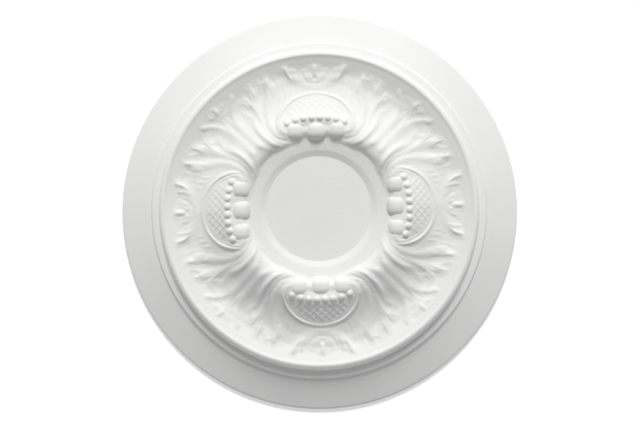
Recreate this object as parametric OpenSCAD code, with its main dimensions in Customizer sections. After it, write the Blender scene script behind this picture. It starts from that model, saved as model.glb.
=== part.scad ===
// Round ceiling rose with a plain central disc, a carved ring of acanthus leaves
// and four cartouches, and a stepped outer flange. It lies on its flat back, with
// the origin at the centre of the back and the decorated face towards +Z.
// All sizes are in millimetres.

/* [Overall] */
// Outer diameter
rose_d = 400; // [380:1:420]
// Height of the outer rim above the back
rim_h = 4.6; // [4:0.1:6]
// Slope of the outer flange in degrees
flange_slope = 24.5; // [22:0.5:26]

/* [Moulding steps] */
// Radius where the flange meets the first riser
flange_in_r = 169; // [168.5:0.1:170]
// Height of the first riser
step_h = 2.6; // [2.2:0.1:3]
// Radius at the foot of the main riser
riser_r = 160.4; // [160:0.1:161]
// Height of the crest above the back
crest_h = 30.5; // [30:0.1:31]
// Radius of the crest
crest_r = 153.2; // [152.6:0.1:153.6]

/* [Centre] */
// Radius of the recessed flat disc
disc_r = 53; // [50:0.5:54]
// Height of the recessed flat disc above the back
disc_h = 32.3; // [31.8:0.1:32.8]
// Radius of the plain ring round the disc
ring_r = 57.4; // [56.5:0.1:58.5]
// Height of the plain ring at its inner edge
ring_h = 35.1; // [34.8:0.1:35.4]

/* [Carved ring] */
// Height of the ground behind the leaves
field_h = 24.4; // [24:0.1:24.8]
// Height of the leaf bed at its inner ridge
ridge_h = 41.6; // [41:0.1:42]
// Height of the three scrolls of each cartouche above the leaf bed
knob_h = 2.6; // [2:0.1:3.2]
// Height of the leaf ribs above the leaf bed
rib_h = 3; // [2:0.1:3.6]
// Radius of the pearls in each cartouche
pearl_r = 3.5; // [3:0.1:3.7]

/* [Hidden] */
R = rose_d / 2;
flange_top = rim_h + (R - 2.2 - flange_in_r) * tan(flange_slope);
ledge_h = flange_top + step_h;
ring_out = ring_h + (66 - ring_r) * tan(12);   // height of the plain ring at its outer edge
cols = 216;          // columns of the carved ring, 27 to each mirrored eighth
rows = 19;           // rows of the carved ring
carve_in = 67.2;     // radii between which the ring is carved
carve_out = 147;
bed = 8;             // depth of the carved ring's underside below the ground

// arc of points from angle a0 to a1 round a centre
function arc(c, r, a0, a1, n) =
  [for (i = [0 : n]) let (a = a0 + (a1 - a0) * i / n) [c[0] + r * cos(a), c[1] + r * sin(a)]];

// half section of the turned body, from the axis outwards and back over the face
function section() = concat(
  [[0, 0], [R - 1.2, 0]],
  arc([R - 1.2, 1.2], 1.2, -90, 0, 3),
  arc([R - 2.6, rim_h - 2.4], 2.6, 0, 90 - flange_slope, 4),
  [[flange_in_r + 0.4, flange_top], [flange_in_r, flange_top]],
  [[flange_in_r - 1.9, ledge_h - 1.1]],
  arc([flange_in_r - 4, ledge_h - 2.1], 2.1, 35, 88, 3),
  [[riser_r, ledge_h + 1.7]],
  arc([crest_r + 0.4, crest_h - 3], 3, 30, 100, 5),
  // cove from the crest down to the ground of the carved ring
  [for (i = [0 : 4]) let (t = i / 4) [crest_r - 2 - 13 * t,
     field_h + (crest_h - 0.9 - field_h) * pow(1 - t, 1.15)]],
  // the plain ring, whose level outer edge lies under the carving, and the step down to the disc
  [[68.5, field_h], [68.5, ring_out], [66, ring_out], [ring_r, ring_h], [ring_r - 0.8, ring_h - 0.6]],
  [[disc_r + 0.9, disc_h + 0.6], [disc_r - 0.6, disc_h], [0, disc_h]]);

module turned_body() {
  rotate_extrude($fn = 180) polygon(section());
}

// ---- carved ring: heights worked out from strokes and lobes ----
// X runs along the rim and Y outwards from the centre, in the frame of the
// nearest cartouche (C) or of the nearest leaf axis (L), which lies 45 degrees away

// distance from p to the segment a-b
function seg(p, a, b) =
  let (d = b - a, t = max(0, min(1, ((p - a) * d) / (d * d)))) norm(p - a - d * t);
function bump(d, w) = d < w ? 0.5 + 0.5 * cos(180 * d / w) : 0;
function stroke(p, q, w, h) =
  h * max([for (i = [0 : len(q) - 2]) bump(seg(p, q[i], q[i + 1]), w)]);
function lobe(p, c, rx, ry, h) =
  h * bump(norm([(p[0] - c[0]) / rx, (p[1] - c[1]) / ry]), 1);

// bed that the leaves lie on, as a height against the radius
function leaf_bed(r) = lookup(r, [
  [67.2, ring_out - 1.8], [68.2, ring_out + 0.5], [72, ridge_h - 3], [75.5, ridge_h - 0.6],
  [80, ridge_h], [85, ridge_h - 0.3], [90, ridge_h - 1.8], [96, ridge_h - 5.4],
  [103, ridge_h - 9.4], [110, field_h + 4.2], [118, field_h + 1.4], [126, field_h - 0.2],
  [136, field_h - 0.4], [141, field_h + 0.6], [145, field_h + 1.4], [147, field_h + 1.2]]);

// cartouche: three scrolls on the inner side, domed panel, arched border, fan of the shell
function cartouche(p) =
  lobe(p, [0, 76], 12, 12, knob_h) + lobe(p, [21, 75.5], 12, 13, knob_h)
  + lobe(p, [0, 101], 36, 17, 2)
  + stroke(p, [[36.5, 80], [34, 92], [27, 103], [17, 111], [0, 115]], 5, rib_h)
  + max(stroke(p, [[0, 127], [0, 143]], 5, rib_h + 0.6),
        stroke(p, [[7, 126], [12, 142]], 4.5, rib_h),
        stroke(p, [[14, 126], [23, 141]], 4.5, rib_h),
        stroke(p, [[21, 128], [32, 137]], 4.5, rib_h - 0.6),
        stroke(p, [[24, 118], [36, 119]], 5, rib_h - 1))
  - lobe(p, [10.8, 76], 4.5, 9, 2.4) - lobe(p, [33, 75], 5, 10, 2.4);

// leaf: central rib, S-shaped side ribs with the groove between them, and side fans
function leaf(p) =
  max(stroke(p, [[0, 92], [0, 146]], 5.5, rib_h + 0.4),
      stroke(p, [[9, 132], [11, 142]], 4.5, rib_h),
      stroke(p, [[11, 80], [9, 100], [8, 118], [12, 131], [22, 142]], 5, rib_h),
      stroke(p, [[22, 72], [20, 84], [21, 98], [28, 108], [44, 121], [57, 129]], 5.5, rib_h),
      stroke(p, [[27, 118], [31, 128], [35, 135]], 4.5, rib_h - 0.6),
      stroke(p, [[38, 121], [44, 133]], 4.5, rib_h - 0.6),
      stroke(p, [[40, 105], [54, 116]], 6, rib_h - 1))
  - stroke(p, [[15, 76], [14.5, 106]], 4.5, 3.2)
  - lobe(p, [19, 119], 6, 9, 2.6)
  - lobe(p, [0, 76], 10, 11, 2.5);

// height of the carving at radius r and angle a from the nearest cartouche, 0 to 45
function carving(r, a) =
  let (edge = lookup(r, [[67.2, 0], [69, 0.3], [75, 1], [140, 1], [146, 0]]))
  leaf_bed(r) + edge * max(-1.2 - (leaf_bed(r) - field_h) * 0.3,
    cartouche([r * sin(a), r * cos(a)]) + leaf([r * sin(45 - a), r * cos(45 - a)]));

function fold(a) = abs((a + 45) % 90 - 45);
radii = [for (i = [0 : rows]) carve_in + (carve_out - carve_in) * i / rows];
eighth = [for (k = [0 : cols / 8]) [for (r = radii) carving(r, 360 * k / cols)]];
function column(j) = let (m = j % (cols / 4)) min(m, cols / 4 - m);

module carved_ring() {
  up = [for (j = [0 : cols - 1]) for (i = [0 : rows])
    let (a = 360 * j / cols) [radii[i] * cos(a), radii[i] * sin(a), eighth[column(j)][i]]];
  low = [for (j = [0 : cols - 1]) for (r = [carve_in, carve_out])
    let (a = 360 * j / cols) [r * cos(a), r * sin(a), field_h - bed]];
  n = rows + 1;
  u = function (j, i) (j % cols) * n + i;
  b = function (j, i) cols * n + (j % cols) * 2 + i;
  polyhedron(points = concat(up, low), faces = concat(
    [for (j = [0 : cols - 1]) for (i = [0 : rows - 1]) each
      (eighth[column(j)][i] + eighth[column(j + 1)][i + 1]
       > eighth[column(j)][i + 1] + eighth[column(j + 1)][i]
        ? [[u(j, i), u(j + 1, i), u(j + 1, i + 1)], [u(j, i), u(j + 1, i + 1), u(j, i + 1)]]
        : [[u(j, i), u(j + 1, i), u(j, i + 1)], [u(j + 1, i), u(j + 1, i + 1), u(j, i + 1)]])],
    [for (j = [0 : cols - 1]) each [[b(j, 0), b(j, 1), b(j + 1, 1)], [b(j, 0), b(j + 1, 1), b(j + 1, 0)]]],
    [for (j = [0 : cols - 1]) each [[u(j, 0), b(j, 0), b(j + 1, 0)], [u(j, 0), b(j + 1, 0), u(j + 1, 0)]]],
    [for (j = [0 : cols - 1]) each [[u(j, rows), u(j + 1, rows), b(j + 1, 1)], [u(j, rows), b(j + 1, 1), b(j, 1)]]]));
}

// row of pearls across each cartouche
module pearls() {
  for (q = [0 : 3]) for (i = [-3.5 : 3.5])
    let (x = 8 * i, y = 88.6 - 0.006 * x * x)
    rotate([0, 0, 90 * q]) translate([x, y, ridge_h + 0.9]) sphere(r = pearl_r, $fn = 32);
}

module ceiling_rose() {
  color("white") union() {
    turned_body();
    carved_ring();
    pearls();
  }
}

ceiling_rose();
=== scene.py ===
import bpy, math
import numpy as np
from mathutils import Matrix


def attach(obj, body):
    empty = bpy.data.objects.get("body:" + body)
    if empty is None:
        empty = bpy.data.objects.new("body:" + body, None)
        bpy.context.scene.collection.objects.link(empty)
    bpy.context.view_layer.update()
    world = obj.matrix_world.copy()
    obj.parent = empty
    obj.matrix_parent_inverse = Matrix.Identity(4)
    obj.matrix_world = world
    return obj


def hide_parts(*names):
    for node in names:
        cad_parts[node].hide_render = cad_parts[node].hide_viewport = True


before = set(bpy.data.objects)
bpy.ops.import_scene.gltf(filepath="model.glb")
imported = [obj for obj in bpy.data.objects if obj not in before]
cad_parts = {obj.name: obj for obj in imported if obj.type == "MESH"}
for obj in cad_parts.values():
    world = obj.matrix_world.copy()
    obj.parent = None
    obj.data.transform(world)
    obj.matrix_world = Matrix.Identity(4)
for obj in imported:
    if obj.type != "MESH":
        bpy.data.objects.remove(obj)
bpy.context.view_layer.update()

# ------------------------------------------------------------------ camera
# The rose lies on its back, and the camera looks down on it from a little
# towards the lower and right edges of the picture. ROLL turns the pattern in the frame.
ROLL = math.radians(1.735)
TILT = math.radians(2.6)
SIDE = math.radians(1.0)
DIST = 0.900
def turned(x, y, z):
    c, s = math.cos(-ROLL), math.sin(-ROLL)
    return (x * c - y * s, x * s + y * c, z)

def look(obj, eye, at, up):
    e, a, u = (np.array(v, float) for v in (eye, at, up))
    f = a - e; f /= np.linalg.norm(f)
    r = np.cross(f, u); r /= np.linalg.norm(r)
    v = np.cross(r, f)
    from mathutils import Matrix
    m = Matrix(((r[0], v[0], -f[0], e[0]), (r[1], v[1], -f[1], e[1]), (r[2], v[2], -f[2], e[2]), (0, 0, 0, 1)))
    obj.matrix_world = m

cam = bpy.data.cameras.new("camera")
cam.sensor_width = 36.0
cam.lens = 49.866
cam.dof.use_dof = False
cam_obj = bpy.data.objects.new("camera", cam)
bpy.context.scene.collection.objects.link(cam_obj)
eye = turned(DIST * math.sin(SIDE), -DIST * math.sin(TILT), DIST * math.cos(TILT))
look(cam_obj, eye, turned(0.00094, -0.00352, 0.0), turned(0, math.cos(TILT), math.sin(TILT)))
bpy.context.scene.camera = cam_obj

# ------------------------------------------------------------------ relief
# Everything below is in millimetres until the mesh is written. The carving
# repeats four times, and each repeat is its own mirror image, so heights are
# worked out for one eighth: from a cartouche axis (C) to a leaf axis (L).
# In either frame X runs along the rim and Y outwards from the centre. Each row
# is a frame, a kind, how far it leans and (x, y, half width, height) points.
STROKES = [
    # rim of the shell cup
    ("C", "b", 0.04, [(0, 122.3, 2.2, 0.08), (4.9, 122.8, 2.2, -0.02), (8.6, 126.2, 2.2, -0.44), (11, 130.1, 2.3, -0.39), (12.1, 134.2, 2.2, -0.26)]),
    # groove in the shell cup
    ("C", "b", -0.1, [(0, 124.9, 2, -0.36), (4.9, 125.4, 2.1, -0.33), (7.5, 130.1, 1.8, 0.05)]),
    # bud
    ("C", "b", 0, [(0, 130.3, 3.7, -0.53)]),
    # middle finger
    ("C", "b", -0.19, [(0, 132.9, 2.8, 1.02), (0, 137.8, 3.3, 1.63), (0, 144, 1.9, -0.21)]),
    # first finger
    ("C", "b", 0.02, [(7.3, 126.9, 1.7, -0.21), (9.3, 132.7, 2.4, 0.27), (10.6, 137.2, 2.5, -0.01), (11, 141, 1.6, -0.11)]),
    # second finger
    ("C", "b", -0.04, [(13.7, 125, 1.6, -0.14), (18.8, 130.7, 2.5, 0.55), (20.6, 136.1, 2.3, 0.78), (21.9, 140.7, 1.6, -0.39)]),
    # third finger
    ("C", "b", 0.12, [(19.9, 126, 1.7, -0.02), (26.2, 133.1, 3.2, 1.68), (28.4, 138, 3.1, 1.29), (30.1, 142.7, 1.5, -0.37)]),
    # first valley
    ("C", "b", 0.03, [(3.3, 130.2, 1.8, 0.49), (5.1, 134.2, 1.7, 0.13), (6.1, 141, 1.7, 0.29)]),
    # second valley
    ("C", "b", 0.01, [(11.5, 127.5, 1.6, -0.07), (13.8, 133.2, 1.8, -0.33), (16, 140.9, 1.7, 0.29)]),
    # third valley
    ("C", "b", 0.01, [(18.9, 127.4, 2, 0.74), (22.3, 133.8, 2, 0.67), (25.9, 141, 1.7, 0.22)]),
    # first comb tooth
    ("C", "b", -0.01, [(24.1, 123, 2, -0.11), (23.9, 117.9, 2.1, 0.27), (24, 112, 2, 0.08)]),
    # second comb tooth
    ("C", "b", 0.01, [(28.8, 123, 2.1, -0.35), (29.3, 115.8, 2, 0.4), (28.9, 109.5, 2, -0.02)]),
    # third comb tooth
    ("C", "b", -0.01, [(34, 118, 2, -0.09), (34.1, 111.9, 2, 0.44), (34.3, 106.5, 2, 0.21)]),
    # first comb gap
    ("C", "b", 0.01, [(26.5, 122.1, 1.3, -0.08), (26.5, 112, 1.3, 0.08)]),
    # second comb gap
    ("C", "b", 0, [(31.6, 120, 1.3, -0.02), (31.5, 110, 1.3, 0.02)]),
    # midrib groove
    ("L", "b", -0.07, [(0, 86, 2, -0), (0, 95, 2.1, -0.26), (0, 105, 2.1, -0.28), (0, 118, 2, -0.28), (0, 129, 2, -0.29)]),
    # midrib
    ("L", "b", -0.06, [(4.8, 81.5, 3.6, 0.49), (4.8, 92, 3.8, 0.38), (5.1, 104, 3.7, 0.31), (4.7, 117, 3.6, 0.45), (4.3, 130.5, 3, -0.62)]),
    # groove beside the midrib
    ("L", "b", 0.03, [(10.5, 73.9, 2, 0.03), (9.6, 82, 2, -0.36), (8.6, 92, 1.9, 0.01), (8.6, 105, 2, 0), (8.2, 120, 2, 0.09)]),
    # long side rib
    ("L", "b", 0.06, [(19.2, 67, 3, 0.46), (15.7, 73.7, 3.6, 0.98), (14.7, 82, 3.3, 0.97), (14.3, 89.8, 3.8, 1.4), (15.1, 98.8, 3.7, 0.79), (16.3, 108.1, 2.8, 0.03)]),
    # deep groove
    ("L", "b", 0.05, [(21.9, 66.9, 2.4, 0.25), (18, 75.8, 2.8, -0.75), (17, 83.9, 2.7, -0.32), (16.9, 91.8, 2.6, 0.43), (17.8, 99.4, 3.1, 0.87), (20.7, 107.2, 2.5, 0.14)]),
    # side lobe
    ("L", "b", -0.05, [(12.1, 98.1, 4.1, -0), (13.1, 107.5, 6.9, -0.75), (13.8, 114.9, 7.6, -0.97), (16.2, 123.1, 7.3, -0.75), (20, 129.6, 4.2, -0.36)]),
    # crown rib
    ("L", "b", 0, [(6.3, 115, 1.8, -0.01), (7.2, 122.1, 2.9, 0.37), (10.3, 128.5, 3, 0.59), (15.2, 134, 3.6, 1.07), (20.8, 137.8, 3.7, 1), (22.6, 142.7, 1.7, -0.08)]),
    # crown tip
    ("L", "b", -0.1, [(0, 134.4, 2.7, 0.63), (0, 139.7, 3.9, 1.49), (0, 146.4, 2.2, -0.29)]),
    # second crown tip
    ("L", "b", -0.07, [(4.4, 133.8, 2, -0.36), (7.6, 138.6, 2.8, 0.65), (10.8, 142.7, 1.8, -0.11)]),
    # crown notch
    ("L", "b", 0.01, [(4, 129, 2.2, 0.12), (4.3, 134, 2.2, 0.63), (5, 140.5, 2.1, 0.54)]),
    # crown side notch
    ("L", "b", -0, [(14.9, 141.4, 2.4, -0.33), (15.4, 137.1, 2.2, 0.07)]),
    # second rib
    ("L", "b", 0.13, [(28.4, 65.9, 3.1, -0.37), (22.8, 73.9, 3.4, -1.95), (20.5, 82, 2.7, -0.99), (20, 90.1, 2.4, -0.24), (21.5, 97.9, 2.2, 0.04), (25.6, 105.5, 2.4, 0.47), (28.5, 112.6, 2.9, 0.97), (29.1, 120.3, 3.4, 1.34), (29.2, 127.4, 3.1, 0.54), (24.9, 131, 2.3, -0.25)]),
    # eye
    ("L", "b", 0.05, [(21.4, 103, 1.6, 0.15), (22.6, 110, 2.7, -0.15), (22.7, 116.5, 3.1, -0.55), (25.7, 122.3, 2.9, 0.91), (25.1, 128.2, 1.8, 0.01)]),
    # groove between the ribs
    ("L", "b", 0.08, [(27.4, 70.1, 1.9, 0.11), (23.8, 78.1, 1.7, -0.83), (22.2, 86, 2.1, -0.83), (23.6, 93.9, 2.1, -0.29), (25.9, 102.1, 2, 0.35), (30.2, 110.2, 1.7, 0.19), (33, 116, 1.6, 0.07)]),
    # third rib
    ("L", "b", -0.17, [(34.2, 63.9, 2.7, -0.13), (28.8, 71.1, 3.6, -1.25), (25.3, 79.2, 3.2, -0.23), (24, 86.9, 2.7, -0.24), (25.6, 95.2, 2.7, -0.11), (30.7, 102.3, 2.7, 0.04), (38.2, 108.5, 2.7, 0.42), (46, 116.2, 2.6, -0), (54.6, 123.5, 3.5, 2.02), (60.7, 130.9, 2, -0.27)]),
    # valley above the third rib
    ("L", "b", 0.11, [(29.2, 106.7, 2.1, 0.23), (33.4, 115.5, 3.2, 0.6), (40.7, 123.1, 3.3, 0.77), (48.2, 127.9, 3.2, 0.9), (53.9, 132.8, 1.8, -0.11)]),
    # first fan finger
    ("L", "b", 0.05, [(30.7, 113, 1.6, 0.24), (32.5, 120.8, 2.6, 1.26), (35.6, 128.8, 2.4, 0.59), (38, 136.4, 1.7, -0.16)]),
    # second fan finger
    ("L", "b", 0.13, [(36.8, 120.7, 1.9, 0.31), (39.9, 127.8, 2.4, 1.77), (43.6, 136.5, 1.6, -0.43)]),
    # third fan finger
    ("L", "b", -0.04, [(42, 126.1, 1.7, 0.3), (46, 130.9, 2, 0.19), (50, 136, 1.5, -0.29)]),
    # first fan gap
    ("L", "b", -0.03, [(33.8, 116.7, 1.6, 0.05), (36.5, 125.6, 2.5, 1.22), (40.7, 136.4, 1.9, 0.14)]),
    # second fan gap
    ("L", "b", 0.06, [(39.3, 122.4, 1.8, 0.23), (42.8, 129.1, 1.7, 0.43), (47.5, 136, 1.6, -0.05)]),
    # valley below the third rib
    ("L", "b", 0.01, [(27.5, 92.9, 2.7, 0.29), (33, 99.9, 4.1, 0.77), (40.3, 105.8, 3.7, 0.85), (49.1, 110.6, 3.2, 0.87), (56.9, 116.5, 3.1, 0.35)]),
    # low lobe
    ("L", "b", 0.12, [(39.4, 107.5, 3.1, 0.16), (48.4, 114.5, 4.2, 1.66), (57, 120.8, 3, -0.05)]),
    # low hollow
    ("L", "b", -0.03, [(56.4, 117, 2.2, -0.17), (58.4, 122.1, 2.7, 0.28), (61, 127, 2.2, 0.19)]),
    # lower lobe
    ("L", "b", 0.16, [(35.8, 97.1, 2.7, 0.02), (43.6, 104.5, 3.2, 0.31), (53.2, 109.1, 2.8, 0.05)]),
    # web
    ("L", "b", 0.16, [(44.9, 121.1, 2.4, 0.3), (52.1, 126.5, 2.7, 1.11)]),
    # split at the inner edge
    ("L", "area", None, [(-9, 73, 2.2, -0.48), (0.1, 87.1, 2.5, -3.5), (7.7, 72.2, 2.4, -3.5), (12.8, 66.9, 2.5, -3.5), (12, 60.4, 2.4, -3.5), (-12, 60.2, 2.3, -3.5), (-12.5, 67, 2.2, -3.5)]),
    # edge of the third rib
    ("L", "b", 0.05, [(30.5, 104, 1.4, 0), (36.8, 112.2, 1.6, -0.19), (44.8, 120.2, 1.5, -0.12), (53, 127, 1.4, -0.03)]),
    # edge of the long rib
    ("L", "b", -0.01, [(15.8, 74.2, 1.5, -0.19), (14.5, 84, 1.5, -0.03), (14.5, 92, 1.6, 0.18), (15.5, 100.1, 1.8, 0.16), (18, 106.9, 1.5, 0.12)]),
    # tip of the third rib
    ("L", "b", 0.09, [(57.3, 130.7, 1.6, 0.06), (52.5, 124.8, 1.8, 0.71), (45.8, 118.7, 1.7, 0.14)]),
    # line under the third rib
    ("L", "b", 0.02, [(31, 100, 1.5, -0.01), (39, 107.5, 1.4, 0.01), (46.8, 114.7, 1.5, -0.02), (54.9, 121.2, 1.5, -0.14)]),
    # vein of the side lobe
    ("L", "b", -0.02, [(16, 111.9, 1.8, -0.06), (17.1, 118.9, 1.8, 0.17), (19, 126, 1.8, -0.05)]),
    # outer edge of the midrib
    ("L", "b", -0, [(6.5, 88, 1.4, 0.03), (7, 98, 1.4, -0.01), (7, 110, 1.4, -0.06)]),
    # line beside the third rib
    ("L", "b", -0.03, [(26.3, 72.2, 1.6, -0.1), (24.7, 80, 1.4, -0.26), (24.1, 86.1, 1.3, -0.17)]),
    # crown fold
    ("L", "b", 0.01, [(2, 133, 1.7, 0.19), (3.1, 138.9, 1.8, 0.43)]),
    # curl in the eye
    ("L", "b", 0.01, [(19.9, 113, 1.5, 0.05), (18.4, 118.9, 1.5, 0.11), (20, 125, 1.5, -0.11)]),
    # border of the cartouche
    ("C", "b", 0.15, [(0, 114.7, 3.3, 0.46), (8.8, 113.2, 3.2, 0.47), (16.9, 110.7, 3.4, 0.55), (24.3, 106.5, 3.4, 0.79), (30.7, 99.8, 3.5, 0.78), (34.6, 92.3, 3.4, 0.72), (36.8, 84.1, 3.2, -0.09), (37.5, 77.1, 3.4, -0.81), (33.3, 70.8, 3.3, -0.45), (27.9, 67.6, 3.3, -0.23)]),
    # foot of the border
    ("C", "b", 0.07, [(0, 119.3, 3.1, 0.48), (10.1, 118.3, 3.1, 0.03), (19, 115, 3.1, 0.08), (26.9, 109.4, 3.1, 0.19), (33.1, 102.5, 3.1, 0.08), (39.4, 94.3, 3.3, -0.27), (40.3, 84.9, 3.4, -0.68), (40.6, 77, 3.2, -0.32)]),
    # domed panel
    ("C", "b", 0.13, [(0, 100.3, 16, 1.77), (16.9, 96.9, 16.2, 0.97)]),
    # panel
    ("C", "area", None, [(-6, 112, 1.5, -0.11), (-0, 112.1, 1.5, -0.9), (9, 111.3, 1.5, -0.9), (16.9, 108.2, 1.5, -0.9), (23.9, 102.9, 1.5, -0.9), (29, 96, 1.5, -0.9), (32.7, 87.6, 1.5, -0.9), (33.5, 80, 1.5, -0.9), (31, 73, 1.5, -0.9), (27, 67, 1.5, -0.9), (25, 60, 1.5, -0.9), (-6, 60, 1.5, -0.9)]),
    # groove under the pearls
    ("C", "b", 0.05, [(0, 85, 1.6, -0.26), (8, 84.4, 1.5, -0.08), (13.2, 82.4, 1.5, 0.24)]),
    # gap outside the side scroll
    ("C", "b", 0.13, [(32.2, 84.3, 2.6, -0.47), (31.5, 77, 2.4, -0.02), (28.4, 70, 2.3, 0.34)]),
    # shell
    ("C", "area", (112, 132), [(-6, 119.5, 2.4, 0.79), (0, 119.5, 2.4, 2.2), (10, 119.9, 2.4, 2.2), (18, 122.3, 2.4, 2.2), (25.2, 126.3, 2.4, 2.2), (30.5, 131.7, 2.4, 2.2), (33.1, 136.9, 2.4, 2.2), (33, 140.9, 2.5, 2.2), (29.1, 142.3, 2.5, 2.2), (25.5, 139, 2.5, 2.2), (21.5, 140.3, 2.6, 2.2), (15.5, 137.1, 2.5, 2.2), (10.7, 139.7, 2.5, 2.2), (6, 139, 2.4, 2.2), (3.5, 141.9, 2.5, 2.2), (-0, 143.4, 2.5, 2.2), (-6, 143, 2.4, 2.2)]),
    # leaf
    ("L", "area", (105, 130), [(-6, 146, 2.2, 0.34), (0, 147.1, 2.2, 1.3), (3.5, 143.6, 2.2, 1.3), (8, 142.7, 2.2, 1.3), (12.1, 140.9, 2.2, 1.3), (17.6, 142.8, 2.2, 1.3), (22.5, 143.6, 2.2, 1.3), (21, 139.5, 2.2, 1.3), (15.5, 134.5, 2.2, 1.3), (14, 131.6, 2.2, 1.3), (20, 132.1, 2.2, 1.3), (26.5, 129.9, 2.2, 1.3), (29.9, 127.5, 2.2, 1.3), (33, 131.5, 2.2, 1.3), (37.1, 137, 2.2, 1.3), (40.1, 132.5, 2.2, 1.3), (43.9, 137.5, 2.2, 1.3), (45.9, 132.9, 2.2, 1.3), (50, 136, 2.2, 1.3), (50.9, 130.8, 2.2, 1.3), (61.1, 131.5, 2.2, 1.3), (62, 126, 2.2, 1.3), (58, 119, 2.2, 1.3), (62, 112, 2.2, 1.3), (60, 90, 2.2, 1.3), (-6, 80, 2.2, 1.3)]),
    # crown
    ("L", "area", (116, 132), [(-3, 122, 2, -0.21), (6.5, 115, 2, 1.2), (10.5, 124, 2, 1.2), (15.5, 133, 2, 1.2), (22, 141, 2, 1.2), (22.5, 144, 2, 1.2), (12, 141.6, 2, 1.2), (3.5, 143.6, 2, 1.2), (-0, 146.9, 2, 1.2), (-3, 147, 2, 1.2)]),
    # bowl of the side lobe
    ("L", "b", 0.14, [(20, 111.9, 7, -0.22), (23, 118, 7, -0.32), (23.9, 125.1, 7, -0.21)]),
    # ground beside the shell
    ("C", "b", -0.21, [(38, 112, 5.5, 0.17), (38.3, 120.9, 5.4, 0.45), (40.1, 130, 5.5, 0.42)]),
    # low lobe swell
    ("L", "b", -0.06, [(52.1, 111.9, 4.7, 0.6), (56.1, 120, 4.7, 1.24), (58.1, 127.3, 4.6, -0.4)]),
    # hollow of the split
    ("L", "b", 0.05, [(0, 77.9, 8, -0.43), (0, 84, 5, -0.1)]),
    # ground beside the border
    ("L", "b", -0.1, [(36, 87.9, 5.5, -0.21), (46, 95, 5.5, 0.16), (58, 99, 5.5, 0.27)]),
]
# radii of the bed that the leaves lie on, its heights, and how it changes between the axes
BED_R = [64, 66, 68, 70, 72, 75, 78, 81, 85, 90, 96, 103, 110, 118, 126, 134, 141, 147, 153]
BED = [[36.65, 37.02, 37.7, 38.91, 40.22, 41.87, 42.47, 42.25, 41.83, 40.11, 36.38, 32.43, 29.1, 26.2, 24.36, 23.8, 22.2, 21.2, 20.8],
       [0.08, 0.01, -0.19, -0.51, -0.64, -0.68, -1.04, -1.22, -0.42, 0.36, -0.05, 0.01, 0.31, 0.63, 0.9, 0.48, 0, 0, 0],
       [-0.02, -0.18, -0.35, -0.36, -0.05, 0.01, -0.11, 0.05, 0.45, 0.4, 0.17, 0.14, 0.06, 0, 0.05, 0.17, 0, 0, 0]]

def spline(p, n=6):
    """Points of a Catmull-Rom curve through rows of (x, y, half width, height)."""
    p = np.asarray(p, float)
    if len(p) == 1:
        return p
    q = np.vstack([2 * p[0] - p[1], p, 2 * p[-1] - p[-2]])
    out = []
    for i in range(len(p) - 1):
        a, b, c, d = q[i:i + 4]
        t = np.linspace(0, 1, n, endpoint=False)[:, None]
        out.append(0.5 * (2 * b + (c - a) * t + (2 * a - 5 * b + 4 * c - d) * t ** 2 + (-a + 3 * b - 3 * c + d) * t ** 3))
    out.append(p[-1:])
    return np.vstack(out)

def section(t, kind):
    """Cross-section of a stroke: b soft, r round-backed, s with a sharp crest."""
    u = np.clip(1 - t * t, 0, None)
    if kind == "r":
        return np.sqrt(u) * np.sqrt(np.clip(u * 6, 0, 1))
    if kind == "s":
        return np.clip(1 - t, 0, None) ** 1.6
    return u * u

def ease(t):
    t = np.clip(t, 0, 1)
    return t * t * (3 - 2 * t)

def stroke(X, Y, pts, kind, lean):
    """A rib or groove along a curve; lean makes one of its sides steeper than the other."""
    c = spline(pts)
    out = np.zeros_like(X)
    m = c[:, 2].max() * (1 + abs(lean))
    sel = np.where((X > c[:, 0].min() - m) & (X < c[:, 0].max() + m) & (Y > c[:, 1].min() - m) & (Y < c[:, 1].max() + m))[0]
    if len(sel) == 0:
        return out
    x, y = X[sel], Y[sel]
    if len(c) == 1:
        out[sel] = c[0, 3] * section(np.hypot(x - c[0, 0], y - c[0, 1]) / c[0, 2], kind)
        return out
    best = np.full(x.shape, 1e9)
    H = np.zeros_like(x)
    S = np.zeros_like(x)
    for (ax, ay, aw, ah), (bx, by, bw, bh) in zip(c[:-1], c[1:]):
        dx, dy = bx - ax, by - ay
        L2 = dx * dx + dy * dy + 1e-12
        t = np.clip(((x - ax) * dx + (y - ay) * dy) / L2, 0, 1)
        ex, ey = x - ax - t * dx, y - ay - t * dy
        d = np.hypot(ex, ey)
        q = d / np.maximum(aw + (bw - aw) * t, 0.3)
        near = q < best
        best = np.where(near, q, best)
        H = np.where(near, ah + (bh - ah) * t, H)
        S = np.where(near, (dx * ey - dy * ex) / (d * math.sqrt(L2) + 1e-9), S)
    out[sel] = H * section(best / (1 + lean * S), kind)
    return out

def region(X, Y, pts, fade):
    """A raised or sunk area inside an outline; fade lets it die away towards the centre."""
    d = np.full(X.shape, 1e9)
    W = np.ones_like(X)
    inside = np.zeros(X.shape, bool)
    n = len(pts)
    for i in range(n):
        ax, ay, aw = pts[i][:3]
        bx, by, bw = pts[(i + 1) % n][:3]
        dx, dy = bx - ax, by - ay
        t = np.clip(((X - ax) * dx + (Y - ay) * dy) / (dx * dx + dy * dy + 1e-12), 0, 1)
        e = np.hypot(X - ax - t * dx, Y - ay - t * dy)
        near = e < d
        d = np.where(near, e, d)
        W = np.where(near, aw + (bw - aw) * t, W)
        inside ^= ((ay > Y) != (by > Y)) & (X < ax + (Y - ay) * dx / (dy if dy != 0 else 1e-12))
    v = ease(np.where(inside, d, -d) / np.maximum(W, 0.5) * 0.5 + 0.5)
    if fade:
        v = v * ease((Y - fade[0]) / (fade[1] - fade[0]))
    return pts[0][3] * v

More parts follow.
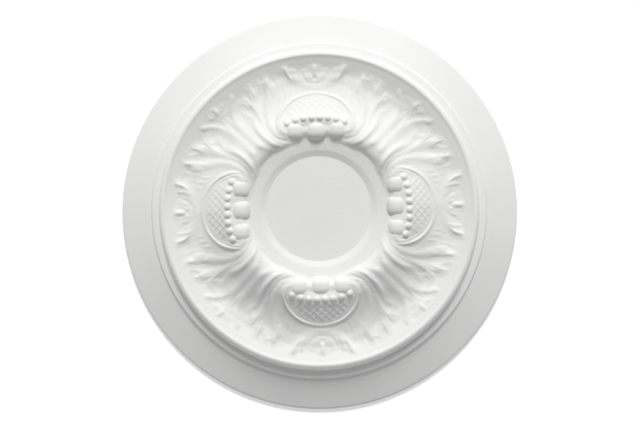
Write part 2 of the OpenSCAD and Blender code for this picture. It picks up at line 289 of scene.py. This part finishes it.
def barrel(X, Y, pts):
    """A round-backed bar that ends square at its outer end and runs out at its inner one."""
    (ax, ay, aw, ah), (bx, by, bw, bh) = pts
    dx, dy = bx - ax, by - ay
    L = math.hypot(dx, dy)
    dx, dy = dx / L, dy / L
    s = (X - ax) * dx + (Y - ay) * dy
    t = np.clip(s / L, 0, 1)
    q = np.abs((X - ax) * dy - (Y - ay) * dx) / (aw + (bw - aw) * t)
    u = np.clip(1 - q * q, 0, 1)
    return (ah + (bh - ah) * t) * u ** 0.8 \
        * ease((s + 1.25) / 2.5 - 0.35 * q * q) * ease((L - s + 4) / 8)

def cubic(xs, ys, x):
    """Natural cubic spline, so that the bed has no creases."""
    xs, ys = np.asarray(xs, float), np.asarray(ys, float)
    n = len(xs); h = np.diff(xs)
    A = np.eye(n); r = np.zeros(n)
    for i in range(1, n - 1):
        A[i, i - 1], A[i, i], A[i, i + 1] = h[i - 1], 2 * (h[i - 1] + h[i]), h[i]
        r[i] = 6 * ((ys[i + 1] - ys[i]) / h[i] - (ys[i] - ys[i - 1]) / h[i - 1])
    M = np.linalg.solve(A, r)
    k = np.clip(np.searchsorted(xs, x) - 1, 0, n - 2)
    a, b, hk = xs[k], xs[k + 1], h[k]
    u, v = b - x, x - a
    return (M[k] * u ** 3 + M[k + 1] * v ** 3) / (6 * hk) + (ys[k] / hk - M[k] * hk / 6) * u + (ys[k + 1] / hk - M[k + 1] * hk / 6) * v

def smooth(a, b, x):
    return ease((x - a) / (b - a))


KNOBS = [(0, 75.8, 10.9, 37.2), (21.1, 75.8, 10.2, 37.2)]
RIM = [(-4, 114.6, 1.8, 0.4), (0, 114.7, 1.8, 0.4), (8.8, 113.4, 1.8, 0.4), (16.9, 110.7, 1.8, 0.65), (24.3, 106.3, 1.8, 0.7),
       (30.7, 99.6, 1.8, 0.75), (34.8, 92.3, 1.8, 0.8), (36.9, 84.1, 1.8, 0.8), (37.2, 78, 1.7, 0.6), (36, 73, 1.4, 0)]
BEAD = [(-4, 111.3, 1.2, 0.3), (0, 111.4, 1.2, 0.3), (8.2, 110.2, 1.2, 0.3), (15.6, 107.6, 1.2, 0.35), (22.2, 103.6, 1.2, 0.4),
        (28, 97.6, 1.2, 0.4), (31.6, 90.9, 1.2, 0.4), (33.5, 83.6, 1.2, 0.4), (33.6, 78, 1.2, 0.2)]
PEARLS = [(4, 88.4), (12, 88), (20, 86.6), (28, 83.8)]
LATTICE_AREA = [(-6, 110, 1.6, 1), (0, 110.2, 1.6, 1), (9, 109.3, 1.6, 1), (16, 106.4, 1.6, 1), (22.5, 101.5, 1.6, 1),
                (27, 95, 1.6, 1), (28.5, 91.8, 1.6, 1), (-6, 92.4, 1.6, 1)]

def extra(z, r, a, XC, YC, XL, YL):
    """The lattice, the thin rim and bead, the pearls and the three knobs of each cartouche."""
    pitch, half = 5.2, 0.8
    ridge = np.zeros_like(z)
    for side in (1, -1):
        across = XC * math.sin(math.radians(43)) + side * (YC - 100) * math.cos(math.radians(43))
        off = np.abs((across / pitch + 0.5) % 1 - 0.5) * pitch
        ridge = np.maximum(ridge, np.clip(1 - off / half, 0, 1))
    z = z + 0.6 * ridge * region(XC, YC, LATTICE_AREA, None)
    z = z + stroke(XC, YC, RIM, "b", 0) + stroke(XC, YC, BEAD, "b", 0)
    for x0, y0 in PEARLS:
        d2 = ((XC - x0) / 3.3) ** 2 + ((YC - y0) / 3.6) ** 2
        z = z + 1.9 * np.clip(1 - d2, 0, 1) ** 0.7
    for x0, y0, rad, z0 in KNOBS:
        d2 = np.abs((XC - x0) / rad) ** 2.5 + np.abs((YC - y0) / 9.4) ** 2.5
        z = np.where(d2 < 1, np.maximum(z, z0 + 6.6 * np.clip(1 - d2, 0, None) ** 0.7), z)
    return z


def cove(r):
    """The plain hollow moulding that the leaf tips lie on."""
    return COVE_Z + (r - 148) * COVE_SLOPE

def carving(r, a):
    """Height of the carved ring at radius r and angle a from a cartouche axis, 0 to 45 degrees."""
    XC, YC = r * np.sin(a), r * np.cos(a)
    XL, YL = r * np.sin(np.pi / 4 - a), r * np.cos(np.pi / 4 - a)
    bed = sum(cubic(BED_R, b, np.clip(r, BED_R[0], BED_R[-1])) * np.cos(4 * k * a) for k, b in enumerate(BED))
    z = 0.5 * (bed + cove(r) + np.sqrt((bed - cove(r)) ** 2 + 2.0))
    for frame_of, kind, lean, pts in STROKES:
        X, Y = (XC, YC) if frame_of == "C" else (XL, YL)
        if kind == "area":
            z = z + region(X, Y, pts, lean)
        elif kind == "bar":
            z = z + barrel(X, Y, pts)
        else:
            z = z + stroke(X, Y, pts, kind, lean)
    return extra(z, r, a, XC, YC, XL, YL)

# ------------------------------------------------------------------ mesh
def ring_list(spec):
    out = [spec[0][0]]
    for (r0, step), (r1, _) in zip(spec[:-1], spec[1:]):
        n = max(1, int(round((r1 - r0) / step)))
        out += [r0 + (r1 - r0) * (i + 1) / n for i in range(n)]
    return np.array(out)


DISC_Z, RING_IN_Z, RING_SLOPE = 32.3, 35.1, math.tan(math.radians(12))
COVE_Z, COVE_SLOPE = 28.25, 0.36
# turned mouldings: rows of radius, height and corner radius
INNER = [(0, DISC_Z, 0), (30, DISC_Z, 0), (48, DISC_Z, 0), (51.4, DISC_Z, 1.8), (57.2, RING_IN_Z - 0.15, 1.5),
         (62, RING_IN_Z + 4.4 * RING_SLOPE, 0), (65.2, RING_IN_Z + 7.6 * RING_SLOPE, 0)]
OUTER = [(150.2, 29.04, 0), (152.8, 30.5, 2.5), (155.3, 29.5, 1.6), (156.1, 28.6, 0.4), (158.9, 22.4, 0.2),
         (165.5, 20.5, 0.4), (167.6, 16.9, 0.2), (197.7, 4.5, 2.0), (200.0, 3.0, 0.9), (199.8, 0.4, 0.3), (199.4, 0.0, 0)]

def fillet(pts, n=5):
    """Polyline of (r, z, radius) rows with every corner rounded."""
    out = []
    P = [np.array(p[:2], float) for p in pts]
    for i, (p, row) in enumerate(zip(P, pts)):
        rad = row[2]
        if rad <= 0 or i in (0, len(P) - 1):
            out.append(p); continue
        u = P[i - 1] - p; v = P[i + 1] - p
        lu, lv = np.linalg.norm(u), np.linalg.norm(v)
        u, v = u / lu, v / lv
        half = math.acos(max(-1, min(1, float(u @ v)))) / 2
        cut = min(rad / math.tan(half), lu * 0.48, lv * 0.48)
        a, b = p + u * cut, p + v * cut
        for t in np.linspace(0, 1, n):
            out.append((1 - t) ** 2 * a + 2 * t * (1 - t) * p + t * t * b)
    return np.array(out)

def finish_height(r, a):
    z = carving(r, a)
    # the plain ring meets the carved wall in a corner
    ring = RING_IN_Z + (r - 57.6) * RING_SLOPE - 2 * np.clip(r - 68, 0, None)
    wall = z - 4 * (1 - smooth(64.5, 68.0, r)) ** 1.5
    z = 0.5 * (ring + wall + np.sqrt((ring - wall) ** 2 + 0.15))
    z = z + (ring - z) * (1 - smooth(65.3, 66.5, r))
    return z + (cove(r) - z) * smooth(146.5, 148.5, r)

def make_mesh():
    N, K = 864, 4
    rr = ring_list([(66.0, 0.8), (112.0, 1.0), (149.5, 1)])
    e = N // 8
    R, A = np.meshgrid(rr, np.arange(e + 1) * (2 * np.pi / N), indexing="ij")
    Z = finish_height(R.ravel(), A.ravel()).reshape(R.shape)
    j = np.arange(N) % (N // 4)
    Z = Z[:, np.minimum(j, N // 4 - j)]
    th = np.arange(N) * (2 * np.pi / N)
    M = N // K
    tc = th[::K]
    inner = fillet(INNER); outer = fillet(OUTER)
    verts, faces = [], []
    def ring(rad, z, t):
        s = len(verts_n)
        return s
    blocks = []; start = [0]
    def add(x, y, z):
        s = start[0]
        blocks.append(np.stack([x, y, z], -1)); start[0] += len(x)
        return s
    def coarse(rad, z): return add(rad * np.cos(tc), rad * np.sin(tc), np.full(M, z))
    def band(s0, s1, n):
        k = np.arange(n); k1 = (k + 1) % n
        faces.extend(np.stack([s0 + k, s1 + k, s1 + k1, s0 + k1], -1).tolist())
    # recessed disc: a centre point and its first ring, then the coarse rings
    c0 = add(np.array([0.0]), np.array([0.0]), np.array([inner[0][1]]))
    prev = None
    for rad, z in inner[1:]:
        s = coarse(rad, z)
        if prev is None:
            k = np.arange(M)
            faces.extend(np.stack([np.full(M, c0), s + k, s + (k + 1) % M], -1).tolist())
        else:
            band(prev, s, M)
        prev = s
    # carved ring, with the columns four times as close
    fine = [add(rad * np.cos(th), rad * np.sin(th), Z[i]) for i, rad in enumerate(rr)]
    def step(c, f, flip):
        k = np.arange(M); k1 = (k + 1) % M; q = k * K
        tri = [(f + q, f + q + 1, c + k), (f + q + 1, f + q + 2, c + k), (c + k, f + q + 2, c + k1),
               (f + q + 2, f + (q + 3) % N, c + k1), (f + (q + 3) % N, f + (q + 4) % N, c + k1)]
        for t in tri:
            t = np.stack([x if np.ndim(x) else np.full(M, x) for x in t], -1)
            faces.extend((t[:, ::-1] if flip else t).tolist())
    step(prev, fine[0], True)
    for a, b in zip(fine[:-1], fine[1:]):
        band(a, b, N)
    prev = None
    for rad, z in outer:
        s = coarse(rad, z)
        if prev is None:
            step(s, fine[-1], False)
        else:
            band(prev, s, M)
        prev = s
    # flat back
    back = add(np.array([0.0]), np.array([0.0]), np.array([0.0]))
    mid = coarse(120.0, 0.0)
    band(prev, mid, M)
    k = np.arange(M)
    faces.extend(np.stack([mid + (k + 1) % M, np.full(M, back), mid + k], -1)[:, [0, 1, 2]].tolist())
    V = np.concatenate(blocks)
    return V, faces

V, F = make_mesh()
mesh = bpy.data.meshes.new("ceiling_rose")
mesh.from_pydata((V * 0.001).tolist(), [], F)
mesh.validate()
import bmesh
bm = bmesh.new(); bm.from_mesh(mesh)
bmesh.ops.recalc_face_normals(bm, faces=bm.faces)
bm.to_mesh(mesh); bm.free()
mesh.update()
rose = bpy.data.objects.new("rose_casting", mesh)
bpy.context.scene.collection.objects.link(rose)
mesh.polygons.foreach_set("use_smooth", [True] * len(mesh.polygons))
# the back meets the rim at a true edge
em = np.zeros(len(mesh.edges), bool)
ev = np.zeros(len(mesh.edges) * 2, int); mesh.edges.foreach_get("vertices", ev); ev = ev.reshape(-1, 2)
rad = np.hypot(V[:, 0], V[:, 1])
flat = (np.abs(V[:, 2]) < 1e-6) & (rad > 150)
em = flat[ev[:, 0]] & flat[ev[:, 1]]
sharp = mesh.attributes.get("sharp_edge") or mesh.attributes.new("sharp_edge", "BOOLEAN", "EDGE")
sharp.data.foreach_set("value", em)

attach(rose, "root")
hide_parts("ceiling_rose")

# ------------------------------------------------------------------ material
def material():
    m = bpy.data.materials.new("moulded_foam_white")
    m.use_nodes = True
    nt = m.node_tree; nt.nodes.clear()
    N = lambda t, **k: (lambda n: ([setattr(n, a, b) for a, b in k.items()], n)[1])(nt.nodes.new(t))
    out = N("ShaderNodeOutputMaterial"); bsdf = N("ShaderNodeBsdfPrincipled")
    tc = N("ShaderNodeTexCoord")
    link = lambda a, b: nt.links.new(a, b)
    # faint clouding of the primer coat
    cloud = N("ShaderNodeTexNoise"); cloud.inputs["Scale"].default_value = 18.0; cloud.inputs["Detail"].default_value = 4.0
    fine = N("ShaderNodeTexNoise"); fine.inputs["Scale"].default_value = 420.0; fine.inputs["Detail"].default_value = 3.0
    pit = N("ShaderNodeTexNoise"); pit.inputs["Scale"].default_value = 1500.0; pit.inputs["Detail"].default_value = 2.0
    for n in (cloud, fine, pit):
        link(tc.outputs["Object"], n.inputs["Vector"])
    col = N("ShaderNodeValToRGB")
    col.color_ramp.elements[0].position = 0.3; col.color_ramp.elements[0].color = (0.815, 0.815, 0.81, 1)
    col.color_ramp.elements[1].position = 0.7; col.color_ramp.elements[1].color = (0.84, 0.84, 0.835, 1)
    link(cloud.outputs["Fac"], col.inputs["Fac"])
    link(col.outputs["Color"], bsdf.inputs["Base Color"])
    rough = N("ShaderNodeMapRange")
    rough.inputs["From Min"].default_value = 0.3; rough.inputs["From Max"].default_value = 0.7
    rough.inputs["To Min"].default_value = 0.62; rough.inputs["To Max"].default_value = 0.74
    link(fine.outputs["Fac"], rough.inputs["Value"]); link(rough.outputs["Result"], bsdf.inputs["Roughness"])
    bsdf.inputs["Specular IOR Level"].default_value = 0.3
    b1 = N("ShaderNodeBump"); b1.inputs["Strength"].default_value = 0.35; b1.inputs["Distance"].default_value = 0.0003
    b2 = N("ShaderNodeBump"); b2.inputs["Strength"].default_value = 0.25; b2.inputs["Distance"].default_value = 0.0001
    link(fine.outputs["Fac"], b1.inputs["Height"]); link(pit.outputs["Fac"], b2.inputs["Height"])
    link(b1.outputs["Normal"], b2.inputs["Normal"]); link(b2.outputs["Normal"], bsdf.inputs["Normal"])
    link(bsdf.outputs["BSDF"], out.inputs["Surface"])
    return m
mesh.materials.append(material())

# ------------------------------------------------------------------ stage and light
floor_mesh = bpy.data.meshes.new("floor")
S = 6.0
floor_mesh.from_pydata([(-S, -S, -0.0005), (S, -S, -0.0005), (S, S, -0.0005), (-S, S, -0.0005)], [], [(0, 1, 2, 3)])
floor = bpy.data.objects.new("floor", floor_mesh)
bpy.context.scene.collection.objects.link(floor)
fm = bpy.data.materials.new("floor_paper"); fm.use_nodes = True
fb = fm.node_tree.nodes["Principled BSDF"]
fb.inputs["Base Color"].default_value = (0.93, 0.93, 0.93, 1)
fb.inputs["Roughness"].default_value = 0.9
fb.inputs["Specular IOR Level"].default_value = 0.0
fb.inputs["Emission Color"].default_value = (1, 1, 1, 1)
fb.inputs["Emission Strength"].default_value = 0.3
floor_mesh.materials.append(fm)

world = bpy.data.worlds.new("studio")
bpy.context.scene.world = world
world.use_nodes = True
bg = world.node_tree.nodes["Background"]
bg.inputs["Color"].default_value = (1, 1, 1, 1)
bg.inputs["Strength"].default_value = 0.322

sun = bpy.data.lights.new("softbox", "SUN")
sun.energy = 2.76
sun.angle = math.radians(18)
sun_obj = bpy.data.objects.new("softbox", sun)
bpy.context.scene.collection.objects.link(sun_obj)
el = math.radians(52)     # from straight above towards the upper edge of the picture
d = turned(0.052 * math.sin(el), math.sin(el), math.cos(el))
look(sun_obj, tuple(2.0 * v for v in d), (0, 0, 0), (0, 0, 1))

bpy.context.scene.view_settings.view_transform = "Standard"
bpy.context.scene.view_settings.look = "None"
